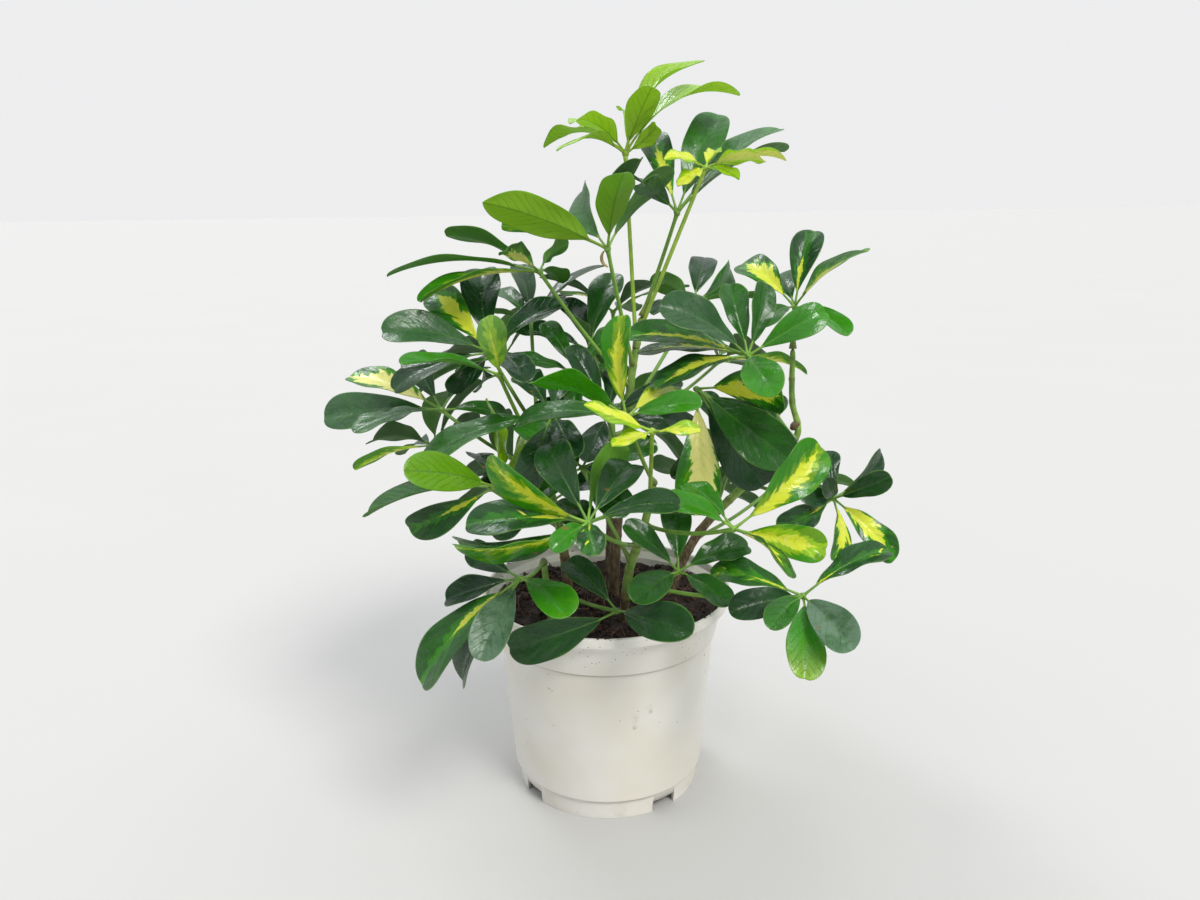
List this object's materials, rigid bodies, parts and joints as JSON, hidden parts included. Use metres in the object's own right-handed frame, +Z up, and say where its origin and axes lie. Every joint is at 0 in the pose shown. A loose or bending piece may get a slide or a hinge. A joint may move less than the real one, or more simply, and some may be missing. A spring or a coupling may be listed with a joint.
{
  "type": "potted umbrella plant",
  "caption": "Bushy umbrella plant with whorls of glossy green and yellow-streaked leaflets on woody stems, growing from peat in a tapered off-white plastic nursery pot.",
  "frame": {"origin": "centre of the pot's foot ring, on the surface that the pot stands on", "axes": "+Z up along the pot's axis, -Y towards the viewer, +X to the viewer's right"},
  "size_m": [0.371, 0.3439, 0.4814],
  "materials": {
    "pot": "warm off-white moulded plastic, satin, dusty near the lip with small stains",
    "peat": "damp crumbly dark peat with short brown fibres",
    "stem": "grey-brown bark low down, green above, with leaf scars",
    "leaf_green": "leathery dark green leaf, glossy on top, paler and duller below",
    "leaf_variegated": "leathery green leaf with ragged yellow streaks along the midrib, glossy on top",
    "leaf_young": "thin young leaf, bright yellow-green, satin"
  },
  "bodies": {
    "root": {"pot": "pot", "soil": "peat", "stem_centre": "stem", "stem_left": "stem", "stem_right": "stem", "stem_front": "stem", "stem_low_left": "stem", "stem_back": "stem", "leaf_top": "leaf_young", "leaf_upper_right": "leaf_variegated", "leaf_upper_right_young": "leaf_young", "leaf_upper_centre": "leaf_variegated", "leaf_upper_left": "leaf_green", "leaf_right_high": "leaf_variegated", "leaf_right_mid": "leaf_variegated", "leaf_centre": "leaf_variegated", "leaf_centre_young": "leaf_young", "leaf_left_mid": "leaf_variegated", "leaf_left_spotted": "leaf_variegated", "leaf_left_low": "leaf_variegated", "leaf_left_inner": "leaf_green", "leaf_low_left": "leaf_variegated", "leaf_front_centre": "leaf_variegated", "leaf_front_right": "leaf_variegated", "leaf_right_small": "leaf_variegated", "leaf_right_low": "leaf_variegated", "leaf_left_front_low": "leaf_variegated", "leaf_front_low": "leaf_green", "leaf_right_inner": "leaf_variegated", "leaf_left_back_high": "leaf_green", "leaf_centre_back_high": "leaf_green", "leaf_right_back_high": "leaf_green", "leaf_inner_centre": "leaf_green", "leaf_inner_right": "leaf_green", "leaf_inner_low": "leaf_green", "leaf_inner_left": "leaf_green", "leaf_inner_high": "leaf_green", "leaf_inner_front": "leaf_green", "leaf_back_high": "leaf_green", "leaf_back_left_high": "leaf_green", "leaf_back_right_high": "leaf_green", "leaf_back_left": "leaf_green", "leaf_back_right": "leaf_green", "leaf_back_middle": "leaf_green", "leaf_back_left_low": "leaf_green", "leaf_back_right_low": "leaf_green"}
  },
  "joints": []
}
